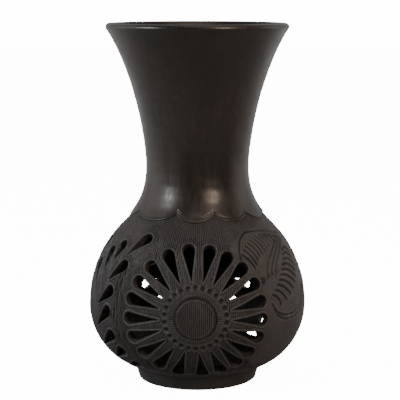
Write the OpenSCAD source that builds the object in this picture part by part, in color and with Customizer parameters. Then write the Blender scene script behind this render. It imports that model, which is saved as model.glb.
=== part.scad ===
// Openwork vase of burnished and carved black clay, built up from a floor pat and coils.
// Everything is in millimetres and +Z is up. The origin is the middle of the foot's resting face.
// The large flower faces -Y and a smaller one faces +Y. The fronds repeat after half a turn.

/* [Body] */
// Height from the table to the top of the lip
pot_h = 250; // [210:1:300]
// Radius at the widest part of the belly
belly_r = 76; // [68:1:92]
// Height of the widest part of the belly
belly_z = 54; // [48:1:60]
// Radius of the curve over the shoulder
shoulder_curve = 80; // [72:1:88]
// Radius of the belly where it meets the foot
bowl_foot_r = 45; // [42:1:50]
// Thickness of the clay wall
wall = 5; // [4:0.5:6]

/* [Neck] */
// Outer radius at the narrowest part of the neck
waist_r = 36; // [30:1:42]
// Height of the narrowest part of the neck
waist_z = 148; // [142:1:178]
// Outer radius of the mouth
mouth_r = 63.5; // [52:0.5:76]
// How far the neck runs on upright above its narrowest part
neck_pull = 34; // [25:1:40]
// How far the flare runs on straight below the lip
lip_pull = 24; // [15:1:30]
// Lean of the lip away from upright, in degrees
lip_lean = 34; // [20:1:45]

/* [Foot and floor] */
// Height of the foot ring
foot_h = 10.5; // [8:0.5:12]
// Outer radius of the foot ring at its top
foot_r = 44.3; // [41:0.1:44.9]
// How much narrower the foot ring is at its lower edge
foot_taper = 2.3; // [0:0.1:4]
// Rounding of the foot ring's lower edge
foot_round = 2.5; // [1:0.5:3]
// Radius of the hollow inside the foot ring
foot_hollow_r = 32; // [25:1:36]
// Radius of the floor pat
floor_r = 38; // [36.5:0.5:40]
// Thickness of the floor pat
floor_t = 6; // [4:0.5:7]

/* [Seams between the coils] */
// Height of the seam on top of the lower bowl
bowl_seam_z = 36; // [30:1:42]
// Height of the seam on top of the belly wall
belly_seam_z = 84; // [76:1:92]
// Height of the seam under the collar
collar_seam_z = 127; // [125:1:130]
// Height of the seam on top of the collar
neck_seam_z = 140; // [136:1:141]
// Place of the seam between the two neck coils, as a share of the flare
coil_seam = 0.4; // [0.3:0.05:0.5]
// Place of the seam under the rim, as a share of the flare
rim_seam = 0.85; // [0.75:0.05:0.9]

/* [Scalloped collar] */
// How far the scalloped edge stands proud of the shoulder
collar_proud = 0.8; // [0.4:0.1:1.2]
// Height of the lowest points of the scallops
scallop_z = 117; // [115:0.5:118]
// Height of the points between the scallops
cusp_z = 122; // [120:0.5:123]
// Directions of the points between the scallops, in degrees
cusps = [-66, -19, 15, 49, 84, 120, 156, 192, 228, 261]; // [-180:1:360]

/* [Large flower] */
// Height of the middle of the flower
flower_z = 58; // [54:1:64]
// Direction of the flower, in degrees from the front
flower_az = -1; // [-6:1:6]
// Angles of the petals, clockwise from the top
petals = [-6, 12, 28, 44, 61, 77, 93, 109, 125, 140, 156, 174,
    197, 216, 234, 251, 268, 285, 301, 318, 336]; // [-180:1:360]
// Distance along the wall from the middle of the flower to the inner tips of the petals
petal_in = 25; // [22:0.5:27]
// Distance along the wall from the middle of the flower to the outer ends of the petals
petal_out = 52; // [48:0.5:54]
// Width of a petal near its outer end
petal_w = 8.6; // [7:0.2:10.4]

/* [Small flower] */
// Height of the middle of the small flower
small_z = 64.5; // [60:0.5:66]
// Direction of the small flower, in degrees from the front
small_az = 181; // [174:1:186]
// How many petals the small flower has
small_petals = 14; // [8:1:16]
// Distance along the wall from the middle of the small flower to the inner tips of its petals
small_in = 29.5; // [22:0.5:31]
// Distance along the wall from the middle of the small flower to the outer ends of its petals
small_out = 47; // [44:0.5:50]
// Width of a petal of the small flower near its outer end
small_w = 7.6; // [5:0.2:9]

/* [Fronds] */
// Direction of the stem of the first frond, in degrees from the front
stem_az = -70; // [-73:1:-69]
// Leaflets on the flower's side of the stem: round end, then tip, each as direction and height
leaflets = [[-36, 108, -47, 97], [-56, 102, -58, 92], [-46, 90, -56, 79], [-52, 72, -63, 61],
    [-53, 58, -65, 45], [-51, 41, -67, 30], [-47, 30, -60, 22], [-41, 20, -51, 17]]; // [-180:1:180]
// Leaflets that stand up from the stem at the head of the frond
head_leaflets = [[-66, 97, -65, 84], [-76, 87, -72, 71]]; // [-180:1:180]
// Width of a leaflet near its round end
leaflet_w = 8.4; // [4:0.2:8.6]
// Height above which a leaflet has no twin on the far side of the stem
twin_top_z = 105; // [100:1:110]

/* [Hidden] */
$fn = 96;
eps = 0.01;
arc_step = 6;            // degrees between the points of an arc on the meridian
carved_step = 20;        // degrees between the points of a carved arc
flare_steps = 14;        // points along the whole flare

// Meridian curve: bowl arc, shoulder arc, hollow arc at the root of the neck, then the flare
bowl_drop = belly_z - foot_h;
bowl_inset = belly_r - bowl_foot_r;
bowl_curve = (bowl_inset^2 + bowl_drop^2) / (2 * bowl_inset);
bowl_c = [belly_r - bowl_curve, belly_z];
shoulder_c = [belly_r - shoulder_curve, belly_z];
root_out = waist_r - shoulder_c.x;
root_up = waist_z - belly_z;
root_curve = (root_out^2 + root_up^2 - shoulder_curve^2) / (2 * (shoulder_curve - root_out));
root_c = [waist_r + root_curve, waist_z];
tangent_a = atan2(root_c.y - shoulder_c.y, root_c.x - shoulder_c.x);
tangent_z = shoulder_c.y + shoulder_curve * sin(tangent_a);

lip_r = wall / 2;
lip_end = [mouth_r - lip_r * (1 - cos(lip_lean)), pot_h - lip_r * (1 + sin(lip_lean))];
flare_knots = [[waist_r, waist_z], [waist_r, waist_z + neck_pull],
    lip_end - lip_pull * [sin(lip_lean), cos(lip_lean)], lip_end];

floor_top = foot_h + floor_t;
scallop_lap = 3;         // degrees by which neighbouring scallops run past each other
ring_z = scallop_z - 1;  // the collar's ring is turned from just below its scallops
openwork_in = 45;        // the cutters reach from this distance from the belly's middle
openwork_out = 95;       // to this one, through the wall only

function reversed(list) = [for (i = [len(list) - 1 : -1 : 0]) list[i]];

// The two ends of a sweep and the whole steps between them, so that faces that touch share their points
function sweep(a0, a1, step) = a1 < a0 ? reversed(sweep(a1, a0, step))
    : concat([a0], [for (a = [step * ceil(a0 / step) : step : a1]) if (a > a0 + eps && a < a1 - eps) a],
        [a1]);

// Points of an arc about c from angle a0 to a1, its radius going from r0 to r1
function arc(c, r0, r1, a0, a1, step = arc_step) =
    [for (a = sweep(a0, a1, step)) let (r = r0 + (r1 - r0) * (a - a0) / (a1 - a0))
        c + r * [cos(a), sin(a)]];

// Angles on the three arcs at a given height of the outer face
function bowl_a(z) = asin((z - belly_z) / bowl_curve);
function shoulder_a(z) = asin((z - belly_z) / shoulder_curve);
function root_a(z) = 180 - asin((z - waist_z) / root_curve);

// The stretches of the meridian, moved inwards by a depth
function bowl_arc(z0, z1, depth) =
    arc(bowl_c, bowl_curve - depth, bowl_curve - depth, bowl_a(z0), bowl_a(z1));
function shoulder_arc(z0, z1, depth) =
    arc(shoulder_c, shoulder_curve - depth, shoulder_curve - depth, shoulder_a(z0), shoulder_a(z1));
function root_arc(z0, z1, depth0, depth1) =
    arc(root_c, root_curve + depth0, root_curve + depth1, root_a(z0), root_a(z1));

// Over the shoulder and into the root of the neck, whichever of the two arcs each height is on
function upper_arc(z0, z1, depth0 = 0, depth1 = 0) =
    z1 <= tangent_z ? arc(shoulder_c, shoulder_curve - depth0, shoulder_curve - depth1,
        shoulder_a(z0), shoulder_a(z1))
    : z0 >= tangent_z ? root_arc(z0, z1, depth0, depth1)
    : let (depth = depth0 + (depth1 - depth0) * (tangent_z - z0) / (z1 - z0))
        concat(upper_arc(z0, tangent_z, depth0, depth), root_arc(tangent_z, z1, depth, depth1));

// Point and direction of the flare at a share t of its length
function flare_at(t) = let (u = 1 - t, p = flare_knots)
    u^3 * p[0] + 3 * u^2 * t * p[1] + 3 * u * t^2 * p[2] + t^3 * p[3];
function flare_way(t) = let (u = 1 - t, p = flare_knots,
        d = u^2 * (p[1] - p[0]) + 2 * u * t * (p[2] - p[1]) + t^2 * (p[3] - p[2]))
    d / norm(d);
function flare(t0, t1, depth) = let (n = max(2, round((t1 - t0) * flare_steps)))
    [for (i = [0 : n]) let (t = t0 + (t1 - t0) * i / n, d = flare_way(t))
        flare_at(t) + depth * [-d.y, d.x]];

// Outer radius of the belly at a height, and the angle at which the belly's middle sees that place
function belly_at(z) =
    z < belly_z ? bowl_c.x + sqrt(bowl_curve^2 - (z - belly_z)^2)
    : z < tangent_z ? shoulder_c.x + sqrt(shoulder_curve^2 - (z - belly_z)^2)
    : root_c.x - sqrt(root_curve^2 - (z - waist_z)^2);
function rise(z) = atan2(z - belly_z, belly_at(z));
function along(distance) = distance / belly_r * 180 / PI;

// Turns an outline about the vase's axis, leaving out a point that repeats the one before it
module turned(outline) {
    rotate_extrude() polygon([for (i = [0 : len(outline) - 1])
        if (i == 0 || norm(outline[i] - outline[i - 1]) > eps) outline[i]]);
}

// A coil whose outer and inner faces are two lists of points that run upwards
module coil(outer, inner) {
    turned(concat(outer, reversed(inner)));
}

// Looks out from the middle of the belly in a direction, with +Y up along the wall
module facing(az, up) {
    translate([0, 0, belly_z]) rotate([0, 0, az]) rotate([90 - up, 0, 0]) children();
}

// A drop with its round end at +Y and its point at -Y, cut through the wall
module drop_cut(length, width) {
    round_r = width / 2;
    reach = length - round_r;
    lean = asin(round_r / reach);
    translate([0, length / 2 - round_r, openwork_in])
        linear_extrude(openwork_out - openwork_in)
            polygon(concat([[0, -reach]],
                arc([0, 0], round_r, round_r, -lean, 180 + lean, carved_step)));
}

module flower_cuts(az, z, angles, inner, outer, width) {
    facing(az, rise(z))
        for (a = angles)
            rotate([0, 0, -a]) rotate([-along((inner + outer) / 2), 0, 0])
                drop_cut(outer - inner, width);
}

// One leaflet from its round end to its tip
module leaflet_cut(leaf) {
    up = (rise(leaf[1]) + rise(leaf[3])) / 2;
    run = (leaf[2] - leaf[0]) * cos(up);
    climb = rise(leaf[3]) - rise(leaf[1]);
    reach = norm([run, climb]) * PI / 180 * belly_r;
    facing((leaf[0] + leaf[2]) / 2, up)
        rotate([0, 0, atan2(run, -climb)])
            drop_cut(reach + leaflet_w / 2, leaflet_w);
}

function mirrored(leaf) = [2 * stem_az - leaf[0], leaf[1], 2 * stem_az - leaf[2], leaf[3]];

module frond_cuts() {
    for (leaf = concat(leaflets, head_leaflets)) leaflet_cut(leaf);
    for (leaf = leaflets) if (leaf[1] < twin_top_z) leaflet_cut(mirrored(leaf));
}

module openwork() {
    flower_cuts(flower_az, flower_z, petals, petal_in, petal_out, petal_w);
    flower_cuts(small_az, small_z, [for (i = [0 : small_petals - 1]) i * 360 / small_petals],
        small_in, small_out, small_w);
    for (half = [0, 180]) rotate([0, 0, half]) frond_cuts();
}

// Everything above the scalloped lower edge of the collar
module above_scallops() {
    edge_r = belly_at(cusp_z);
    dip = cusp_z - scallop_z;
    translate([0, 0, cusp_z + dip / 2]) cylinder(r = 2 * edge_r, h = neck_seam_z);
    for (i = [0 : len(cusps) - 1]) {
        next = i + 1 < len(cusps) ? cusps[i + 1] : cusps[0] + 360;
        half_w = edge_r * sin((next - cusps[i]) / 2);
        scallop_r = (half_w^2 + dip^2) / (2 * dip);
        swing = asin(half_w / scallop_r) + scallop_lap;
        side = scallop_r * sin(swing);
        rotate([0, 0, (cusps[i] + next) / 2]) rotate([90, 0, 0])
            translate([0, 0, edge_r / 2]) linear_extrude(edge_r)
                polygon(concat([[side, cusp_z + dip], [-side, cusp_z + dip]],
                    arc([0, scallop_z + scallop_r], scallop_r, scallop_r, -90 - swing, swing - 90,
                        carved_step / 2)));
    }
}

module foot_ring() {
    side = [foot_r - foot_taper - foot_round, foot_round];
    color("#2a2725") turned(concat([[foot_hollow_r, 0]],
        arc(side, foot_round, foot_round, -90, 0), [[foot_r, foot_h], [foot_hollow_r, foot_h]]));
}

module floor_pat() {
    color("#24211f") translate([0, 0, foot_h]) cylinder(r = floor_r, h = floor_t);
}

module lower_bowl() {
    inner_curve = bowl_curve - wall;
    floor_a = asin((floor_top - belly_z) / inner_curve);
    color("#3a3532") difference() {
        coil(bowl_arc(foot_h, bowl_seam_z, 0),
            concat([[floor_r, foot_h], [floor_r, floor_top]],
                arc(bowl_c, inner_curve, inner_curve, floor_a, bowl_a(bowl_seam_z))));
        openwork();
    }
}

module belly_wall() {
    color("#3d3835") difference() {
        coil(concat(bowl_arc(bowl_seam_z, belly_z, 0), shoulder_arc(belly_z, belly_seam_z, 0)),
            concat(bowl_arc(bowl_seam_z, belly_z, wall), shoulder_arc(belly_z, belly_seam_z, wall)));
        openwork();
    }
}

module shoulder_wall() {
    color("#393431") difference() {
        coil(concat(upper_arc(belly_seam_z, ring_z), upper_arc(ring_z, collar_seam_z)),
            upper_arc(belly_seam_z, collar_seam_z, wall, wall));
        openwork();
    }
}

module neck_collar() {
    color("#1d1b1a") intersection() {
        turned(concat(upper_arc(ring_z, neck_seam_z, -collar_proud, 0),
            reversed(upper_arc(collar_seam_z, neck_seam_z, wall, wall)),
            reversed(upper_arc(ring_z, collar_seam_z))));
        above_scallops();
    }
}

module lower_neck_coil() {
    color("#1b1918") coil(
        concat(upper_arc(neck_seam_z, waist_z), flare(0, coil_seam, 0)),
        concat(upper_arc(neck_seam_z, waist_z, wall, wall), flare(0, coil_seam, wall)));
}

module upper_neck_coil() {
    color("#1f1c1a") coil(flare(coil_seam, rim_seam, 0), flare(coil_seam, rim_seam, wall));
}

module rim_coil() {
    middle = lip_end + lip_r * [-cos(lip_lean), sin(lip_lean)];
    color("#22201e") turned(concat(flare(rim_seam, 1, 0),
        arc(middle, lip_r, lip_r, -lip_lean, 180 - lip_lean), reversed(flare(rim_seam, 1, wall))));
}

foot_ring();
floor_pat();
lower_bowl();
belly_wall();
shoulder_wall();
neck_collar();
lower_neck_coil();
upper_neck_coil();
rim_coil();
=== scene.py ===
import math
import time
import bmesh
import bpy
import numpy as np
from mathutils import Matrix, Vector


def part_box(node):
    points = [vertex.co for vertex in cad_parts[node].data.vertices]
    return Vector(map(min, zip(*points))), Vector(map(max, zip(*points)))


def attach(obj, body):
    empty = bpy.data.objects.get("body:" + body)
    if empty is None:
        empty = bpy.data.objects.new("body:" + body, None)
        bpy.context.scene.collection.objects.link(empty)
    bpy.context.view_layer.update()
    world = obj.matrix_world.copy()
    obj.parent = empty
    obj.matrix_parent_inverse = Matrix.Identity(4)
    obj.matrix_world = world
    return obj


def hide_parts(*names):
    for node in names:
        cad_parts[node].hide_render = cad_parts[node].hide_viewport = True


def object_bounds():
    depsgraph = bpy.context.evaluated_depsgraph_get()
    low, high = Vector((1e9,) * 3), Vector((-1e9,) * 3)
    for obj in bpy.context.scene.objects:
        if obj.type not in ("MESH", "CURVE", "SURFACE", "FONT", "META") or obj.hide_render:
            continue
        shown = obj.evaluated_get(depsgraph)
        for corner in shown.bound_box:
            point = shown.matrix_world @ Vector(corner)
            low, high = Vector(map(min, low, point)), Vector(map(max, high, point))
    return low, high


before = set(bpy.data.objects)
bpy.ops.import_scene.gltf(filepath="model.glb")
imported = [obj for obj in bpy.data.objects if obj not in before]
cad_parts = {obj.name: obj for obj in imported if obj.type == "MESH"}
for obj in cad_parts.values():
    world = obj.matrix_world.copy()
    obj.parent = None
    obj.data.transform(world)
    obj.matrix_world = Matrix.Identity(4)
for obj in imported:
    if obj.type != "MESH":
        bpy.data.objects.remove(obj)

cadLow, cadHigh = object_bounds()
scene = bpy.context.scene
started = time.time()
mm = 0.001  # sizes below are in millimetres, and meshes are made in metres
print("frame loaded")

# The vase's outline, as in the CAD model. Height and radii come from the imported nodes.
vase = {
    "height": cadHigh.z / mm,
    "belly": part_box("belly_wall")[1].x / mm,
    "bellyHeight": 54,
    "shoulderCurve": 80,
    "bowlFoot": 45,  # radius of the belly where it meets the foot
    "foot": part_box("foot_ring")[1].z / mm,
    "waist": 36,
    "waistHeight": 148,
    "mouth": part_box("rim_coil")[1].x / mm,
    "neckPull": 34,
    "lipPull": 24,
    "lipLean": math.radians(34),
    "wall": 5,
}
seams = {"bowl": 36, "belly": 84, "collar": 127, "neck": 140, "coils": 0.4, "rim": 0.85}

middle = np.array([0, 0, vase["bellyHeight"]])  # the belly is nearly a ball about this point
bowlInset = vase["belly"] - vase["bowlFoot"]
bowlDrop = vase["bellyHeight"] - vase["foot"]
bowlCurve = (bowlInset ** 2 + bowlDrop ** 2) / (2 * bowlInset)
bowlCentre = np.array([vase["belly"] - bowlCurve, vase["bellyHeight"]])
shoulderCentre = np.array([vase["belly"] - vase["shoulderCurve"], vase["bellyHeight"]])
rootOut = vase["waist"] - shoulderCentre[0]
rootUp = vase["waistHeight"] - vase["bellyHeight"]
rootGap = vase["shoulderCurve"] - rootOut
rootCurve = (rootOut ** 2 + rootUp ** 2 - vase["shoulderCurve"] ** 2) / (2 * rootGap)
rootCentre = np.array([vase["waist"] + rootCurve, vase["waistHeight"]])
tangentAngle = math.atan2(rootUp, rootCentre[0] - shoulderCentre[0])
tangentHeight = vase["bellyHeight"] + vase["shoulderCurve"] * math.sin(tangentAngle)
lipRadius = vase["wall"] / 2
lipEnd = np.array([vase["mouth"] - lipRadius * (1 - math.cos(vase["lipLean"])),
                   vase["height"] - lipRadius * (1 + math.sin(vase["lipLean"]))])
lipWay = np.array([math.sin(vase["lipLean"]), math.cos(vase["lipLean"])])
flareKnots = [np.array([vase["waist"], vase["waistHeight"]]),
              np.array([vase["waist"], vase["waistHeight"] + vase["neckPull"]]),
              lipEnd - vase["lipPull"] * lipWay, lipEnd]


def arcPoints(centre, radius, a0, a1, step):
    count = max(2, round(abs(a1 - a0) * radius / step))
    return [centre + radius * np.array([math.cos(a), math.sin(a)]) for a in np.linspace(a0, a1, count + 1)]


def bowlArc(z0, z1, depth, step):
    a0, a1 = (math.asin((z - bowlCentre[1]) / bowlCurve) for z in (z0, z1))
    return arcPoints(bowlCentre, bowlCurve - depth, a0, a1, step)


def shoulderArc(z0, z1, depth, step):
    a0, a1 = (math.asin((z - shoulderCentre[1]) / vase["shoulderCurve"]) for z in (z0, z1))
    return arcPoints(shoulderCentre, vase["shoulderCurve"] - depth, a0, a1, step)


def rootArc(z0, z1, depth, step):
    a0, a1 = (math.pi - math.asin((z - rootCentre[1]) / rootCurve) for z in (z0, z1))
    return arcPoints(rootCentre, rootCurve + depth, a0, a1, step)


def flare(t0, t1, depth, count):
    points = []
    p0, p1, p2, p3 = flareKnots
    for t in np.linspace(t0, t1, count + 1):
        u = 1 - t
        point = u ** 3 * p0 + 3 * u * u * t * p1 + 3 * u * t * t * p2 + t ** 3 * p3
        way = u * u * (p1 - p0) + 2 * u * t * (p2 - p1) + t * t * (p3 - p2)
        way = way / np.linalg.norm(way)
        points.append(point + depth * np.array([-way[1], way[0]]))
    return points


def bellyRadius(z):  # outer radius at a height, from the foot to the waist
    low = bowlCentre[0] + np.sqrt(np.maximum(bowlCurve ** 2 - (z - bowlCentre[1]) ** 2, 0))
    mid = np.sqrt(np.maximum(vase["shoulderCurve"] ** 2 - (z - shoulderCentre[1]) ** 2, 0))
    top = rootCentre[0] - np.sqrt(np.maximum(rootCurve ** 2 - (z - rootCentre[1]) ** 2, 0))
    return np.where(z < vase["bellyHeight"], low, np.where(z < tangentHeight, shoulderCentre[0] + mid, top))


def slope(z):  # the outward and upward parts of the outer face's normal
    r = bellyRadius(z)
    centreX = np.where(z < vase["bellyHeight"], bowlCentre[0], shoulderCentre[0])
    flat, up = r - centreX, z - vase["bellyHeight"]
    onRoot = z >= tangentHeight
    flat = np.where(onRoot, rootCentre[0] - r, flat)
    up = np.where(onRoot, rootCentre[1] - z, up)
    size = np.hypot(flat, up)
    return flat / size, up / size


def outward(azimuth, z):
    flat, up = slope(z)
    return np.stack([flat * np.sin(azimuth), -flat * np.cos(azimuth), up], 1)


def onBelly(azimuth, z):  # points of the outer face, azimuth in degrees from the front
    a = np.radians(azimuth)
    r = bellyRadius(np.asarray(z, float))
    return np.stack([r * np.sin(a), -r * np.cos(a), np.asarray(z, float)], -1)


def rise(z):
    return math.degrees(math.atan2(z - vase["bellyHeight"], float(bellyRadius(np.float64(z)))))


def turn(angle, axis):
    return np.array(Matrix.Rotation(math.radians(angle), 3, axis))


def facing(azimuth, up):  # columns are right, up and outward for someone looking at the wall
    return turn(azimuth, "Z") @ turn(90 - up, "X")


def ease(low, high, value):
    t = np.clip((value - low) / (high - low), 0, 1)
    return t * t * (3 - 2 * t)


def ridge(value, place, width):  # 1 on the place, falling to 0 over the width on both sides
    return 1 - ease(0, width, np.abs(value - place))


def waver(azimuth, z, seed):  # slow unevenness of a hand-made surface, from -1 to 1
    total = 0
    for i, (around, up) in enumerate([(3, 0.021), (5, 0.047), (9, 0.083), (14, 0.06)]):
        total = total + np.sin(around * azimuth + up * z * (1.7 + i) + seed * (i + 1.3)) / (1.6 + i)
    return total / 1.7


# Cut-outs
flower = {
    "azimuth": -1,
    "height": 58,
    "petals": [-6, 12, 28, 44, 61, 77, 93, 109, 125, 140, 156, 174,
               197, 216, 234, 251, 268, 285, 301, 318, 336],
    "inner": 25,
    "outer": 52,
    "width": 8.6,
}
smallFlower = {
    "azimuth": 181,
    "height": 64.5,
    "petals": [i * 360 / 14 for i in range(14)],
    "inner": 29.5,
    "outer": 47,
    "width": 7.6,
}
frond = {
    "stem": -70,
    "leaflets": [(-36, 108, -47, 97), (-56, 102, -58, 92), (-46, 90, -56, 79), (-52, 72, -63, 61),
                 (-53, 58, -65, 45), (-51, 41, -67, 30), (-47, 30, -60, 22), (-41, 20, -51, 17)],
    "head": [(-66, 97, -65, 84), (-76, 87, -72, 71)],
    "twinTop": 105,
    "width": 8.4,
}


def petalDrops(kind):
    drops = []
    look = facing(kind["azimuth"], rise(kind["height"]))
    length = kind["outer"] - kind["inner"]
    tilt = math.degrees((kind["outer"] + kind["inner"]) / 2 / vase["belly"])
    for petal in kind["petals"]:
        drops.append((look @ turn(-petal, "Z") @ turn(-tilt, "X"), length, kind["width"]))
    return drops


def frondDrops(half):
    drops = []
    twins = [(2 * frond["stem"] - a, z, 2 * frond["stem"] - b, w)
             for a, z, b, w in frond["leaflets"] if z < frond["twinTop"]]
    for a, z, b, w in frond["leaflets"] + frond["head"] + twins:
        up = (rise(z) + rise(w)) / 2
        run, climb = (b - a) * math.cos(math.radians(up)), rise(w) - rise(z)
        length = math.radians(math.hypot(run, climb)) * vase["belly"] + frond["width"] / 2
        look = facing((a + b) / 2 + half, up) @ turn(math.degrees(math.atan2(run, -climb)), "Z")
        drops.append((look, length, frond["width"]))
    return drops


drops = petalDrops(flower) + petalDrops(smallFlower) + frondDrops(0) + frondDrops(180)


def dropDistance(points, drop, margin=7):  # near points, their distance outside the outline, and their place
    look, length, width = drop
    centre = middle + look[:, 2] * vase["belly"]
    near = np.nonzero(((points - centre) ** 2).sum(1) < (length / 2 + margin) ** 2)[0]
    local = (points[near] - middle) @ look
    roundR = width / 2
    reach = length - roundR
    x = np.abs(local[:, 0])
    y = length / 2 - roundR - local[:, 1]
    lean = roundR / reach
    side = math.sqrt(1 - lean * lean)
    along = side * y - lean * x
    distance = np.where(along < 0, np.hypot(x, y) - roundR,
                        np.where(along > side * reach, np.hypot(x, y - reach), side * x + lean * y - roundR))
    return near, distance, x, y


def nearestDrop(points):
    best = np.full(len(points), 1e3)
    for drop in drops:
        near, distance = dropDistance(points, drop, 3)[:2]
        best[near] = np.minimum(best[near], distance)
    return best


# Scalloped collar
collar = {
    "proud": 0.8,
    "low": 117,
    "point": 122,
    "ring": 116,
    "points": [-66, -19, 15, 49, 84, 120, 156, 192, 228, 261],
    "bead": [0.14, 0.07, 0.03, 0.06, 0.12, 0.06, 0.12, 0.05, 0.1, 0.07],
    "line": [0.05, 0.30, 0.42, 0.34, 0.1, 0.36, 0.28, 0.38, 0.2, 0.3],
    "second": [0, 0.24, 0, 0.3, 0, 0, 0.26, 0, 0.2, 0],
}


def scallopAt(azimuth):  # which scallop, and where along it from -1 to 1
    starts = np.array(collar["points"], float)
    ends = np.append(starts[1:], starts[0] + 360)
    around = np.mod(azimuth - starts[0], 360) + starts[0]
    which = np.clip(np.searchsorted(starts, around, side="right") - 1, 0, len(starts) - 1)
    return which, (around - (starts[which] + ends[which]) / 2) * 2 / (ends[which] - starts[which]), \
        (ends[which] - starts[which]) / 2


def scallopEdge(azimuth):  # height of the collar's lower edge, azimuth in degrees
    place, halfTurn = scallopAt(azimuth)[1:]
    edgeR = float(bellyRadius(np.float64(collar["point"])))
    dip = collar["point"] - collar["low"]
    halfWidth = edgeR * np.sin(np.radians(halfTurn))
    curve = (halfWidth ** 2 + dip ** 2) / (2 * dip)
    side = edgeR * np.sin(np.radians(halfTurn * place))
    return collar["low"] + curve - np.sqrt(curve ** 2 - side ** 2)


# Carving of the belly's face
carving = {
    "columns": 1056,  # three to each comb line, four on the shoulder
    "row": 0.62,
    "most": 196000,  # triangles in one coil
    "comb": 0.5,
    "between": 0.16,
    "wander": 0.28,
    "rimRaise": 0.3,
    "outline": 0.45,
    "outlineAt": (2.5, 4.2),  # distances of the two outlines beyond a petal's round end
}
disc = {  # the flower's middle, distances from its centre
    "radius": 13,
    "groove": 13.9,
    "grooveDepth": 0.9,
    "collar": 16,
    "tickFrom": 14.3,
    "tickTo": 17.8,
    "ticks": 60,
    "tickDepth": 0.75,
    "dents": 26,
    "dentRing": 20.9,
    "dentRadius": 2.15,
    "dentDepth": 1.25,
}


def flowerPlace(points):  # distance along the wall from the nearer flower's middle, and angle from its top
    places = []
    for kind in (flower, smallFlower):
        look = facing(kind["azimuth"], rise(kind["height"]))
        local = (points - middle) @ look
        local = local / np.linalg.norm(local, axis=1)[:, None]
        away = np.arccos(np.clip(local[:, 2], -1, 1)) * vase["belly"]
        places.append((away, np.arctan2(local[:, 0], local[:, 1])))
    near = places[0][0] < places[1][0]
    return np.where(near, places[0][0], places[1][0]), np.where(near, places[0][1], places[1][1])


def lineDistance(points, line, reach=3):  # distance to a run of points on the wall
    best = np.full(len(points), 1e3)
    low, high = line.min(0) - reach, line.max(0) + reach
    near = np.nonzero(((points > low) & (points < high)).all(1))[0]
    part = points[near]
    found = np.full(len(part), 1e3)
    for a, b in zip(line, line[1:]):
        way = b - a
        t = np.clip(((part - a) @ way) / (way @ way), 0, 1)
        found = np.minimum(found, np.linalg.norm(part - a - t[:, None] * way, axis=1))
    best[near] = found
    return best


def curve(start, turning, end, half, count=12):  # a bent line on the wall through azimuths and heights
    t = np.linspace(0, 1, count + 1)[:, None]
    flat = (1 - t) ** 2 * np.array(start) + 2 * t * (1 - t) * np.array(turning) + t * t * np.array(end)
    return onBelly(flat[:, 0] + half, flat[:, 1])


def mix(a, b, t):
    return tuple(np.array(a) * (1 - t) + np.array(b) * t)


leaf = {
    "hatches": 12,
    "hooks": 10,
    "depth": 0.9,
    "width": 0.95,
    "smooth": [((34, 96), (52, 102), (78, 106), 17), ((46, 66), (60, 66), (78, 84), 17),
               ((46, 40), (60, 36), (82, 50), 26)],
    "outline": [((27, 91), (25, 108), (38, 110.5)), ((38, 110.5), (54, 111.5), (74, 106)),
                ((42, 64), (45, 53.5), (58, 54.5)), ((58, 54.5), (70, 56), (75, 70)),
                ((43, 60), (47, 50.5), (59, 51.5)), ((59, 51.5), (73, 53), (78, 70))],
    "rib": [((42, 82), (42, 94), (64, 103)), ((48, 79.5), (47.5, 91), (72, 102)),
            ((45, 80.5), (45, 92.5), (68, 102.5))],
}


def bend(start, middle, end, t):  # a place along a bent row of starts, tops or ends
    return tuple((1 - t) ** 2 * a + 2 * t * (1 - t) * b + t * t * c for a, b, c in zip(start, middle, end))


def leafLines(half):  # lines, depth and half width of the leaf relief to the right of a flower
    lines = []
    for t in np.linspace(0, 1, leaf["hatches"]):  # upper lobe
        start = bend((28, 98), (40, 112), (64, 106), t)
        end = bend((34.5, 88.5), (43, 102), (72, 103), t)
        top = bend((32.5, 95), (44, 109), (69, 105), t)
        lines.append((curve(start, top, end, half), leaf["depth"], leaf["width"]))
    for t in np.linspace(0, 1, leaf["hooks"]):  # lower lobe
        start, end = mix((43, 70), (65, 96), t), bend((48.5, 62), (73, 74), (74, 93), t)
        top = (mix((46, 66), (71, 96.5), t)[0] + 1.5, mix((46, 66), (71, 97), t)[1] + 2.2)
        lines.append((curve(start, top, end, half), leaf["depth"], leaf["width"]))
    for row, depth in ((leaf["rib"], 0.6), (leaf["outline"], 0.75)):
        lines += [(curve(*points, half), depth, 0.95) for points in row]
    return lines


contours = [((-43, 88), (-47, 74), (-45, 56)), ((-45, 56), (-47, 42), (-40, 31)),
            ((-46.5, 84), (-49.5, 72), (-47.5, 57)), ((-47.5, 57), (-48, 44), (-43, 34))]


def reliefLines():
    lines = []
    for half in (0, 180):
        lines += leafLines(half)
        lines += [(curve(a, b, c, half), 0.6, 0.85) for a, b, c in contours]
    return lines


def leafCover(points):  # 1 where the ground is left smooth round the leaf relief
    cover = np.zeros(len(points))
    for half in (0, 180):
        for start, turning, end, width in leaf["smooth"]:
            away = lineDistance(points, curve(start, turning, end, half, 6), width)
            cover = np.maximum(cover, 1 - ease(width - 3, width, away))
    return cover


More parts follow.
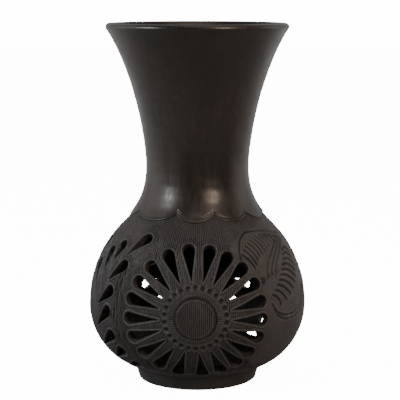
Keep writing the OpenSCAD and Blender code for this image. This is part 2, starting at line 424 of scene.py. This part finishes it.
def carve(points, column):
    azimuth = np.arctan2(points[:, 0], -points[:, 1])
    z = points[:, 2]
    height = 0.10 * waver(azimuth, z, 2.0)
    distance, angle = flowerPlace(points)
    gap = np.full(len(points), 1e3)
    crown = np.zeros(len(points))
    for drop in drops:
        near, beside, x, y = dropDistance(points, drop)
        gap[near] = np.minimum(gap[near], beside)
        outline = np.hypot(x, y) - drop[2] / 2
        beyond = np.arctan2(x, -y) < 1.25
        for place in carving["outlineAt"]:
            crown[near] = np.maximum(crown[near], ridge(outline, place, 0.7) * beyond)
    cover = leafCover(points)
    inDisc = 1 - ease(disc["radius"] - 0.2, disc["radius"] + 0.2, distance)
    onRings = (1 - inDisc) * (1 - ease(22.6, 23.2, distance))
    lowerZone = 1 - ease(15, 19, z)
    comb = (1 - cover) * (1 - onRings) * ease(0.7, 1.3, gap) * (1 - lowerZone)
    comb = comb * (0.75 + 0.25 * waver(azimuth * 7, z * 2.1, 5.0))
    wide = ease(90, 94, z)
    combed = comb * np.where(column % 3 == 0, 1 - wide, 0) + comb * np.where(column % 4 == 0, wide, 0)
    height += carving["between"] * (comb - combed) - carving["comb"] * combed
    height -= crown * carving["outline"] * (1 - cover * 0.6)
    # cut edges are eased, with a thin raised rim and an outline round them
    height += carving["rimRaise"] * ridge(gap, 0.75, 0.6)
    height -= 0.3 * ridge(gap, 1.75, 0.55)
    height -= 0.25 * (1 - ease(0, 0.4, gap))
    # middle of the flower
    height += 0.2 * inDisc * (1 - combed) + 0.25 * ridge(distance, 12.5, 1.0)
    height -= disc["grooveDepth"] * ridge(distance, disc["groove"], 0.95)
    height += 0.35 * ridge(distance, disc["collar"], 1.8)
    ticks = 0.5 + 0.5 * np.cos(angle * disc["ticks"])
    tickStart = ease(disc["tickFrom"], disc["tickFrom"] + 0.5, distance)
    tickEnd = 1 - ease(disc["tickTo"] - 0.8, disc["tickTo"], distance)
    height -= disc["tickDepth"] * ticks * tickStart * tickEnd
    step = math.tau / disc["dents"]
    aside = (np.mod(angle + step / 2, step) - step / 2) * disc["dentRing"]
    dent = np.hypot(aside, distance - disc["dentRing"])
    height -= disc["dentDepth"] * (1 - ease(0.5, disc["dentRadius"], dent))
    height += 0.3 * ridge(dent, 2.35, 0.6)
    for line, depth, width in reliefLines():
        away = lineDistance(points, line)
        groove = 0.22 * ridge(away, 1.35, 0.6) - depth * (1 - ease(0.15, width, away))
        height += groove * ease(0.6, 1.2, gap)
    below = scallopEdge(np.degrees(azimuth)) - z
    height -= 0.28 * ridge(below, 1.1, 0.8)
    for i in range(7):  # dots that climb to a point of the collar
        at = np.array([-37 + i * 2.7])
        spot = onBelly(at, scallopEdge(at) - 3.2)[0]
        height -= 0.5 * (1 - ease(0.1, 1.1, np.linalg.norm(points - spot, axis=1)))
    trail = curve((-47, 90.5), (-32.5, 97), (-31.5, 111), 0, 15)
    for spot in trail:  # dots that follow the first leaflet
        height -= 0.55 * (1 - ease(0.1, 0.95, np.linalg.norm(points - spot, axis=1)))
    foot = ease(vase["foot"], vase["foot"] + 1.5, z)
    return height * foot, combed * foot


def wrapGrid(columns, rows, place):  # a grid rolled round the axis, where place gives radius and height
    bm = bmesh.new()
    bmesh.ops.create_grid(bm, x_segments=columns, y_segments=rows - 1, size=1)
    layer = bm.verts.layers.int.new("column")
    flat = np.array([v.co[:] for v in bm.verts])
    column = np.rint((flat[:, 0] + 1) / 2 * columns).astype(int)
    row = np.rint((flat[:, 1] + 1) / 2 * (rows - 1)).astype(int)
    azimuth = column / columns * math.tau - math.pi
    r, z = place(row, azimuth)
    placed = np.stack([r * np.sin(azimuth), -r * np.cos(azimuth), z], 1) * mm
    for v, co, c in zip(bm.verts, placed, column):
        v.co = co
        v[layer] = c % columns
    bmesh.ops.remove_doubles(bm, verts=bm.verts, dist=1e-6)
    return bm


def pointOutwards(bm):
    bmesh.ops.recalc_face_normals(bm, faces=bm.faces)
    face = max(bm.faces, key=lambda f: f.calc_center_median().xy.length)
    if face.normal.xy.dot(face.calc_center_median().xy) < 0:
        bmesh.ops.reverse_faces(bm, faces=bm.faces)


def coordinates(mesh):
    co = np.empty(len(mesh.vertices) * 3)
    mesh.vertices.foreach_get("co", co)
    return co.reshape(-1, 3) / mm


def setCoordinates(mesh, points):
    mesh.vertices.foreach_set("co", (points * mm).ravel())
    mesh.update()


def finishPiece(name, bm, node, material):
    mesh = bpy.data.meshes.new(name)
    bm.to_mesh(mesh)
    bm.free()
    mesh.shade_smooth()
    mesh.set_sharp_from_angle(angle=math.radians(48))
    piece = bpy.data.objects.new(name, mesh)
    scene.collection.objects.link(piece)
    mesh.materials.append(material)
    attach(piece, "root")
    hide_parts(node)
    mesh.calc_loop_triangles()
    print(name, "has", len(mesh.loop_triangles), "triangles", round(time.time() - started, 1), "s")
    return piece


def snapToDrops(mesh):  # moves the nearer end of each edge that crosses an outline onto it
    points = coordinates(mesh)
    distance = nearestDrop(points)
    ends = np.empty(len(mesh.edges) * 2, int)
    mesh.edges.foreach_get("vertices", ends)
    ends = ends.reshape(-1, 2)
    d0, d1 = distance[ends[:, 0]], distance[ends[:, 1]]
    crossing = (d0 * d1 < 0) & (np.abs(d0) < 2) & (np.abs(d1) < 2)
    ends, d0, d1 = ends[crossing], d0[crossing], d1[crossing]
    share = d0 / (d0 - d1)
    firstNearer = share < 0.5
    mover = np.where(firstNearer, ends[:, 0], ends[:, 1])
    target = points[ends[:, 0]] + share[:, None] * (points[ends[:, 1]] - points[ends[:, 0]])
    travel = np.linalg.norm(target - points[mover], axis=1)
    for i in np.argsort(-travel):  # the shortest move is written last
        points[mover[i]] = target[i]
    setCoordinates(mesh, points)
    return set(mover.tolist())


def setInnerWall(inner):  # brings points that solidify threw astray back to the inner wall
    verts = list(inner)
    points = np.array([v.co[:] for v in verts]) / mm
    azimuth, z = np.arctan2(points[:, 0], -points[:, 1]), points[:, 2]
    flat = slope(z)[0]
    depth = (bellyRadius(z) - np.hypot(points[:, 0], points[:, 1])) * flat
    astray = (np.abs(depth - vase["wall"]) > 0.6) & (z > vase["foot"] + vase["wall"] + 1)
    placed = (points - outward(azimuth, z) * (vase["wall"] - depth)[:, None]) * mm
    for i in np.nonzero(astray)[0]:
        verts[i].co = placed[i]
    print("inner wall mended at", int(astray.sum()), "points")


def carvedCoil(name, points, node, material):
    outline = np.array(points)
    bm = wrapGrid(carving["columns"], len(points), lambda row, azimuth: (outline[row, 0], outline[row, 1]))
    pointOutwards(bm)
    mesh = bpy.data.meshes.new(name + "Skin")
    bm.to_mesh(mesh)
    bm.free()
    base = coordinates(mesh)
    azimuth = np.arctan2(base[:, 0], -base[:, 1])
    radius = np.hypot(base[:, 0], base[:, 1])
    azimuth = azimuth + carving["wander"] / vase["belly"] * (
        waver(azimuth * 6, base[:, 2] * 1.6, 1.0) + 0.6 * waver(azimuth * 17, base[:, 2] * 3.1, 4.0))
    setCoordinates(mesh, np.stack([radius * np.sin(azimuth), -radius * np.cos(azimuth), base[:, 2]], 1))
    onOutline = snapToDrops(mesh)

    bm = bmesh.new()
    bm.from_mesh(mesh)
    bm.verts.ensure_lookup_table()
    bmesh.ops.connect_verts(bm, verts=[bm.verts[i] for i in onOutline])
    bm.faces.ensure_lookup_table()
    centres = np.array([f.calc_center_median()[:] for f in bm.faces]) / mm
    inside = np.nonzero(nearestDrop(centres) < 0)[0]
    bmesh.ops.delete(bm, geom=[bm.faces[i] for i in inside], context="FACES")
    bm.to_mesh(mesh)  # packs the vertices again, so that the operators below run on clean lists
    bm.free()

    bm = bmesh.new()
    bm.from_mesh(mesh)
    layer = bm.verts.layers.int["column"]
    depthLayer = bm.verts.layers.float.new("carved")
    combLayer = bm.verts.layers.float.new("comb")
    made = bmesh.ops.solidify(bm, geom=bm.faces[:], thickness=vase["wall"] * mm)
    inner = {g for g in made["geom"] if isinstance(g, bmesh.types.BMVert)}
    setInnerWall(inner)
    skin = [v for v in bm.verts if v not in inner]
    skinPoints = np.array([v.co[:] for v in skin]) / mm
    skinColumn = np.array([v[layer] for v in skin])
    height, combed = carve(skinPoints, skinColumn)
    azimuth = np.arctan2(skinPoints[:, 0], -skinPoints[:, 1])
    placed = (skinPoints + outward(azimuth, skinPoints[:, 2]) * height[:, None]) * mm
    for v, co, h, c in zip(skin, placed, height, combed):
        v.co = co
        v[depthLayer] = h
        v[combLayer] = c
    bmesh.ops.recalc_face_normals(bm, faces=bm.faces)
    bm.verts.index_update()
    hidden = [v.index for v in inner if all(w in inner for f in v.link_faces for w in f.verts)]
    triangles = sum(len(f.verts) - 2 for f in bm.faces)
    bm.to_mesh(mesh)
    bm.free()
    thinned = thinInside(name, mesh, hidden, triangles)
    bm = bmesh.new()
    bm.from_mesh(thinned)
    return finishPiece(name, bm, node, material)


def thinInside(name, mesh, hidden, triangles):  # fewer faces on the inner wall, which is plain
    rough = bpy.data.objects.new(name + "Rough", mesh)
    scene.collection.objects.link(rough)
    group = rough.vertex_groups.new(name="inside")
    group.add(hidden, 1, "REPLACE")
    thin = rough.modifiers.new("thin", "DECIMATE")
    thin.vertex_group = "inside"
    thin.ratio = carving["most"] / triangles
    evaluated = rough.evaluated_get(bpy.context.evaluated_depsgraph_get())
    result = bpy.data.meshes.new_from_object(evaluated)
    bpy.data.objects.remove(rough)
    return result


# Finishes
def newMaterial(name):
    material = bpy.data.materials.new(name)
    material.use_nodes = True
    tree = material.node_tree
    return material, tree, tree.nodes["Principled BSDF"]


def link(tree, out, into):
    tree.links.new(out, into)


def noise(tree, stretch, scale, detail=4.0, roughness=0.55):
    place = tree.nodes.new("ShaderNodeTexCoord")
    mapping = tree.nodes.new("ShaderNodeMapping")
    mapping.inputs["Scale"].default_value = stretch
    texture = tree.nodes.new("ShaderNodeTexNoise")
    texture.inputs["Scale"].default_value = scale
    texture.inputs["Detail"].default_value = detail
    texture.inputs["Roughness"].default_value = roughness
    link(tree, place.outputs["Object"], mapping.inputs["Vector"])
    link(tree, mapping.outputs["Vector"], texture.inputs["Vector"])
    return texture.outputs["Fac"]


def spread(tree, value, low, high, toLow, toHigh):
    node = tree.nodes.new("ShaderNodeMapRange")
    node.inputs["From Min"].default_value = low
    node.inputs["From Max"].default_value = high
    node.inputs["To Min"].default_value = toLow
    node.inputs["To Max"].default_value = toHigh
    link(tree, value, node.inputs["Value"])
    return node.outputs["Result"]


def ramp(tree, value, stops):
    node = tree.nodes.new("ShaderNodeValToRGB")
    points = node.color_ramp.elements
    while len(points) < len(stops):
        points.new(0.5)
    for point, (place, color) in zip(points, stops):
        point.position = place
        point.color = (*color, 1)
    link(tree, value, node.inputs["Fac"])
    return node.outputs["Color"]


def blendColor(tree, share, first, second, kind="MIX"):
    node = tree.nodes.new("ShaderNodeMix")
    node.data_type = "RGBA"
    node.blend_type = kind
    for value, name in ((share, "Factor"), (first, "A"), (second, "B")):
        socket = next(i for i in node.inputs if i.name == name and i.enabled)
        if isinstance(value, (int, float)):
            socket.default_value = value
        elif isinstance(value, tuple):
            socket.default_value = (*value, 1)
        else:
            link(tree, value, socket)
    return next(o for o in node.outputs if o.enabled)


def attribute(tree, name):
    node = tree.nodes.new("ShaderNodeAttribute")
    node.attribute_name = name
    return node.outputs["Fac"]


def bumps(tree, shader, layers):  # each layer is a height socket and its depth in millimetres
    normal = None
    for height, depth in layers:
        node = tree.nodes.new("ShaderNodeBump")
        node.inputs["Strength"].default_value = 1
        node.inputs["Distance"].default_value = depth * mm
        link(tree, height, node.inputs["Height"])
        if normal:
            link(tree, normal, node.inputs["Normal"])
        normal = node.outputs["Normal"]
    link(tree, normal, shader.inputs["Normal"])


clay = {
    "matt": (0.0145, 0.0118, 0.0105),
    # the next colour is pale worn clay, and on raised rims it is also a painted highlight
    "mattWornAndHighlight": (0.036, 0.029, 0.0255),
    # the next colour is painted shade, put into the carved grooves and dents
    "mattPaintedShade": (0.002, 0.0016, 0.0014),
    "burnished": (0.0032, 0.0025, 0.0021),
    "burnishedWarm": (0.015, 0.0098, 0.0076),
    "foot": (0.023, 0.02, 0.018),
    "inner": (0.014, 0.012, 0.011),
}


def makeCarvedClay():
    material, tree, shader = newMaterial("carvedClay")
    lighter = mix(clay["matt"], clay["mattWornAndHighlight"], 0.55)
    body = ramp(tree, noise(tree, (1, 1, 1), 34, 5), [(0.34, clay["matt"]), (0.68, lighter)])
    grain = spread(tree, noise(tree, (1, 1, 1), 900, 3), 0.3, 0.7, 0.75, 1.3)
    body = blendColor(tree, 1.0, body, grain, "MULTIPLY")
    depth = attribute(tree, "carved")
    # painted shade: the colour darkens where the face is carved below its surface, in grooves, dents and comb
    # lines
    paintedShade = spread(tree, depth, -0.5, -0.06, 1, 0)
    # worn clay and painted highlight: raised rims and ridges are lightened in colour
    wornAndHighlight = spread(tree, depth, 0.04, 0.34, 0, 0.8)
    color = blendColor(tree, paintedShade, body, clay["mattPaintedShade"])
    color = blendColor(tree, wornAndHighlight, color, clay["mattWornAndHighlight"])
    link(tree, color, shader.inputs["Base Color"])
    link(tree, spread(tree, noise(tree, (1, 1, 1), 120, 4), 0.3, 0.7, 0.56, 0.74), shader.inputs["Roughness"])
    shader.inputs["Specular IOR Level"].default_value = 0.45
    bumps(tree, shader, [(noise(tree, (1, 1, 1), 260, 4), 0.16), (noise(tree, (1, 1, 1), 1500, 3), 0.05)])
    return material


def makeBurnishedClay():
    material, tree, shader = newMaterial("burnishedClay")
    streaks = noise(tree, (1, 1, 0.07), 420, 4)
    broad = noise(tree, (1, 1, 0.45), 26, 4)
    body = ramp(tree, broad, [(0.36, clay["burnished"]), (0.72, clay["burnishedWarm"])])
    body = blendColor(tree, 1.0, body, spread(tree, streaks, 0.3, 0.7, 0.8, 1.25), "MULTIPLY")
    specks = spread(tree, noise(tree, (1, 1, 1), 1100, 2), 0.66, 0.76, 0, 0.5)
    link(tree, blendColor(tree, specks, body, clay["mattWornAndHighlight"]), shader.inputs["Base Color"])
    shine = tree.nodes.new("ShaderNodeMath")
    shine.operation = "ADD"
    link(tree, spread(tree, streaks, 0.3, 0.7, 0.31, 0.42), shine.inputs[0])
    link(tree, spread(tree, broad, 0.35, 0.7, -0.03, 0.09), shine.inputs[1])
    link(tree, shine.outputs[0], shader.inputs["Roughness"])
    shader.inputs["Specular IOR Level"].default_value = 0.4
    shader.inputs["Specular Tint"].default_value = (1, 0.9, 0.83, 1)
    bumps(tree, shader, [(streaks, 0.035), (noise(tree, (1, 1, 0.35), 60, 3), 0.2),
                         (noise(tree, (1, 1, 1), 1400, 2), 0.012)])
    return material


def makePlainClay(name, color, roughness):
    material, tree, shader = newMaterial(name)
    patches = noise(tree, (1, 1, 1), 60, 5)
    dark, pale = (tuple(share * c for c in color) for share in (0.7, 1.35))
    link(tree, ramp(tree, patches, [(0.35, dark), (0.7, pale)]), shader.inputs["Base Color"])
    link(tree, spread(tree, noise(tree, (1, 1, 1), 240, 4), 0.3, 0.7, roughness - 0.08, roughness + 0.08),
         shader.inputs["Roughness"])
    shader.inputs["Specular IOR Level"].default_value = 0.4
    bumps(tree, shader, [(noise(tree, (1, 1, 4), 120, 3), 0.14), (noise(tree, (1, 1, 1), 1300, 3), 0.04)])
    return material


carvedClay = makeCarvedClay()
burnishedClay = makeBurnishedClay()
footClay = makePlainClay("footClay", clay["foot"], 0.52)
innerClay = makePlainClay("innerClay", clay["inner"], 0.75)
print("finishes made")

# Carved coils
row = carving["row"]
floorPat = {
    "radius": 38,
    "thick": 6,
    "ripples": 5,
    "ripple": 0.25,
    "columns": 144,
}
ledge = [np.array([r, vase["foot"]]) for r in np.linspace(floorPat["radius"], vase["bowlFoot"], 8)]
carvedCoil("lowerBowl", ledge[:-1] + bowlArc(vase["foot"], seams["bowl"], 0, row), "lower_bowl", carvedClay)
carvedCoil("bellyWall", bowlArc(seams["bowl"], vase["bellyHeight"], 0, row)
           + shoulderArc(vase["bellyHeight"], seams["belly"], 0, row)[1:], "belly_wall", carvedClay)
carvedCoil("shoulderWall", shoulderArc(seams["belly"], tangentHeight, 0, row)
           + rootArc(tangentHeight, seams["collar"], 0, row)[1:], "shoulder_wall", carvedClay)


marks = {
    "wave": 0.12,
    "ripple": 0.03,
    "ease": 0.42,
    "easeReach": 11,
}


def handMarks(azimuth, z):  # unevenness of the burnished neck, in millimetres
    x = (z - vase["waistHeight"]) / marks["easeReach"]
    waistEase = -marks["ease"] * x * np.exp(-x * x)  # softens the change of curve at the waist
    ripple = marks["ripple"] * np.sin(z * 0.8 + 1.4 * np.sin(azimuth * 2))
    return marks["wave"] * waver(azimuth, z, 7.0) + ripple + waistEase


def turnedPiece(name, outline, marks, columns, node, material):
    points = np.array(outline)

    def place(row, azimuth):
        r, z = points[row, 0], points[row, 1]
        return r + np.minimum(marks(azimuth, z), r), z

    bm = wrapGrid(columns, len(points), place)
    pointOutwards(bm)
    return finishPiece(name, bm, node, material)


# Scalloped collar
skirt = {
    "columns": 720,
    "steps": [0, 0.08, 0.22, 0.42, 0.7, 1.0, 1.3, 1.6, 1.9, 2.2, 2.5, 2.8, 3.1, 3.4, 3.8, 4.3],
    "upper": 16,
    "inner": 8,
    "under": 6,
}


def collarPlace(row, azimuth):
    degrees = np.degrees(azimuth)
    edge = scallopEdge(degrees)
    which = scallopAt(degrees)[0]
    steps = np.array(skirt["steps"])
    outer = len(steps) + skirt["upper"]
    top, ring = seams["neck"], seams["collar"]
    start = edge + steps[-1]
    onUpper = np.clip((row - len(steps) + 1) / skirt["upper"], 0, 1)
    fromEdge = steps[np.clip(row, 0, len(steps) - 1)]
    z = np.where(row < len(steps), edge + fromEdge, start + onUpper * (top - start))
    away = z - edge
    proud = collar["proud"] * ease(0, top - collar["ring"], top - z)
    height = proud * ease(-0.12, 0.45, away) ** 0.6
    height = np.where(row == 0, 0, height)
    strength = 0.75 + 0.25 * np.sin(degrees * 0.21 + 1.0)
    bead, line, second = (np.array(collar[key])[which] * strength for key in ("bead", "line", "second"))
    height = height + bead * ridge(away, 0.85, 0.8)
    height = height - line * ridge(away, 2.2, 0.55) - second * ridge(away, 3.4, 0.5)
    height = height + handMarks(azimuth, z) * ease(0.2, 3, away)
    # inside: down the inner wall, out along the underside, then down behind the skirt
    innerRow = row - outer
    onInner = np.clip(innerRow / (skirt["inner"] - 1), 0, 1)
    zInner = top + onInner * (ring - top)
    underRow = row - outer - skirt["inner"]
    onUnder = np.clip(underRow / (skirt["under"] - 1), 0, 1)
    zUnder = ring + onUnder * (edge - ring)
    z = np.where(underRow >= 0, zUnder, np.where(innerRow >= 0, zInner, z))
    height = np.where(underRow >= 0, 0, np.where(innerRow >= 0, handMarks(azimuth, z) - vase["wall"], height))
    flat, up = slope(z)
    return bellyRadius(z) + flat * height, z + up * height


def makeCollar():
    rows = len(skirt["steps"]) + skirt["upper"] + skirt["inner"] + skirt["under"]
    bm = wrapGrid(skirt["columns"], rows, collarPlace)
    pointOutwards(bm)
    return finishPiece("scallopedCollar", bm, "neck_collar", burnishedClay)


makeCollar()

# Burnished neck
neck = {
    "columns": 288,
    "row": 1.4,
}


def closed(outer, inner):
    return list(outer) + list(inner)[::-1] + [outer[0]]


def flareRows(t0, t1, depth):
    run = sum(np.linalg.norm(b - a) for a, b in zip(flare(t0, t1, 0, 12), flare(t0, t1, 0, 12)[1:]))
    return flare(t0, t1, depth, max(4, round(run / neck["row"])))


wall = vase["wall"]
turnedPiece("lowerNeckCoil", closed(rootArc(seams["neck"], vase["waistHeight"], 0, neck["row"])
                                    + flareRows(0, seams["coils"], 0)[1:],
                                    rootArc(seams["neck"], vase["waistHeight"], wall, neck["row"] * 2)
                                    + flareRows(0, seams["coils"], wall)[1:]),
            handMarks, neck["columns"], "lower_neck_coil", burnishedClay)
turnedPiece("upperNeckCoil", closed(flareRows(seams["coils"], seams["rim"], 0),
                                    flareRows(seams["coils"], seams["rim"], wall)),
            handMarks, neck["columns"], "upper_neck_coil", burnishedClay)
lipCentre = lipEnd + lipRadius * np.array([-math.cos(vase["lipLean"]), math.sin(vase["lipLean"])])
lip = [lipCentre + lipRadius * np.array([math.cos(a), math.sin(a)])
       for a in np.linspace(-vase["lipLean"], math.pi - vase["lipLean"], 15)]
turnedPiece("rimCoil", closed(flareRows(seams["rim"], 1, 0) + lip[1:-1], flareRows(seams["rim"], 1, wall)),
            handMarks, neck["columns"], "rim_coil", burnishedClay)

# Foot ring and floor pat
footRing = {
    "top": 44.3,
    "taper": 2.3,
    "round": 2.5,
    "hollow": 32,
    "edge": 0.7,
    "columns": 240,
}


def arcRound(x, z, radius, a0, a1, count):
    return [np.array([x + radius * math.cos(math.radians(a)), z + radius * math.sin(math.radians(a))])
            for a in np.linspace(a0, a1, count)]


def makeFoot():
    f, e, topZ = footRing, footRing["edge"], vase["foot"]
    outer = (arcRound(f["hollow"] + e, e, e, 180, 270, 5)
             + arcRound(f["top"] - f["taper"] - f["round"], f["round"], f["round"], -90, 0, 9))
    side = outer[-1]
    outer += [side + (np.array([f["top"], topZ - 0.3]) - side) * t for t in np.linspace(0, 1, 8)[1:]]
    outer += [np.array([f["top"] - 0.3, topZ]), np.array([f["hollow"], topZ])]
    outer += [np.array([f["hollow"], topZ / 2])]
    turnedPiece("footRing", outer + [outer[0]],
                lambda azimuth, z: -0.12 + 0.12 * waver(azimuth, z * 3, 3.0) + 0.05 * np.sin(z * 2.6),
                f["columns"], "foot_ring", footClay)


def makeFloorPat():
    r, low, high = floorPat["radius"], vase["foot"], vase["foot"] + floorPat["thick"]
    outline = [np.array([0, low])] + [np.array([x, low]) for x in np.linspace(6, r - 0.4, 6)]
    outline += [np.array([r, low + 0.4]), np.array([r, high - 0.5])]
    for x in np.linspace(r - 0.5, 1.5, 34):
        ripple = floorPat["ripple"] * (1 - math.cos(x / r * math.tau * floorPat["ripples"])) / 2
        outline.append(np.array([x, high - ripple]))
    outline.append(np.array([0, high]))
    turnedPiece("floorPat", outline, lambda azimuth, z: np.zeros(len(z)), floorPat["columns"],
                "floor_pat", innerClay)


makeFoot()
makeFloorPat()

# Floor, light and camera
view = {
    "distance": 0.988,
    "height": 0.273,
    "pitch": 8.44,
    "lens": 128,
    "shift": 0.0065,
}
light = {
    "ahead": 0.10,  # how bright the surroundings are on the camera's side, and behind the vase
    "behind": 0.75,
    "paper": 14.0,
    "bounce": 0.38,
}
lamps = {
    "coolLeft": {"place": (-0.90, -0.46, 0.56), "aim": (0, 0, 0.13), "size": (0.22, 0.3),
                 "power": 9.5, "color": (0.86, 0.93, 1)},
    "warmRight": {"place": (0.55, -0.82, 0.62), "aim": (0, 0, 0.13), "size": (0.14, 0.24),
                  "power": 8, "color": (1, 0.84, 0.72)},
    "above": {"place": (0.1, -0.5, 1.3), "aim": (0, 0, 0.1), "size": (0.8, 0.5),
              "power": 4, "color": (1, 0.95, 0.9)},
    "leftCard": {"place": (-0.95, 0.12, 0.3), "aim": (0, 0, 0.15), "size": (0.6, 1.0),
                 "power": 2.8, "color": (1, 0.98, 0.95)},
    "rightCard": {"place": (0.95, 0.12, 0.3), "aim": (0, 0, 0.15), "size": (0.6, 1.0),
                  "power": 2.5, "color": (1, 0.88, 0.82)},
}


def makeCamera():
    data = bpy.data.cameras.new("camera")
    camera = bpy.data.objects.new("camera", data)
    scene.collection.objects.link(camera)
    camera.location = (0, -view["distance"], view["height"])
    camera.rotation_euler = (math.radians(90 - view["pitch"]), 0, 0)
    data.sensor_width = 36
    data.lens = view["lens"]
    data.shift_x = view["shift"]
    scene.camera = camera


def areaLight(name, place, aim, size, power, color):
    data = bpy.data.lights.new(name, "AREA")
    data.shape = "RECTANGLE"
    data.size, data.size_y = size
    data.energy = power
    data.color = color
    lamp = bpy.data.objects.new(name, data)
    scene.collection.objects.link(lamp)
    lamp.location = place
    lamp.rotation_euler = (Vector(aim) - Vector(place)).to_track_quat("-Z", "Y").to_euler()


def fadeBack(tree, kind, start, end, low, high):  # grows from low to high towards the back
    place = tree.nodes.new("ShaderNodeTexCoord")
    parts = tree.nodes.new("ShaderNodeSeparateXYZ")
    link(tree, place.outputs[kind], parts.inputs[0])
    return spread(tree, parts.outputs["Y"], start, end, low, high)


def seenOnly(tree, lit, seen):  # one strength for what the camera sees and one for what lights the clay
    path = tree.nodes.new("ShaderNodeLightPath")
    value = spread(tree, path.outputs["Is Camera Ray"], 0, 1, 0, seen)
    if isinstance(lit, (int, float)):
        value.node.inputs["To Min"].default_value = lit
    else:
        link(tree, lit, value.node.inputs["To Min"])
    return value


def makeFloor():
    bm = bmesh.new()
    bmesh.ops.create_grid(bm, x_segments=1, y_segments=1, size=6)
    mesh = bpy.data.meshes.new("floor")
    bm.to_mesh(mesh)
    bm.free()
    floor = bpy.data.objects.new("floor", mesh)
    scene.collection.objects.link(floor)
    material, tree, shader = newMaterial("whitePaper")
    tint = blendColor(tree, seenOnly(tree, 0, 1), (light["bounce"],) * 3, (0.85, 0.85, 0.85))
    link(tree, tint, shader.inputs["Base Color"])
    shader.inputs["Roughness"].default_value = 0.9
    shader.inputs["Specular IOR Level"].default_value = 0.1
    shader.inputs["Emission Color"].default_value = (1, 1, 1, 1)
    link(tree, seenOnly(tree, fadeBack(tree, "Object", 0, 0.6, 0, light["behind"]), light["paper"]),
         shader.inputs["Emission Strength"])
    mesh.materials.append(material)


def makeWorld():
    world = bpy.data.worlds.new("studio")
    scene.world = world
    world.use_nodes = True
    tree = world.node_tree
    background = tree.nodes["Background"]
    background.inputs["Color"].default_value = (1, 1, 1, 1)
    around = fadeBack(tree, "Generated", -0.1, 0.5, light["ahead"], light["behind"])
    link(tree, seenOnly(tree, around, light["paper"] + 1), background.inputs["Strength"])


makeCamera()
makeFloor()
makeWorld()
for name, lamp in lamps.items():
    areaLight(name, **lamp)
print("lights and camera made")
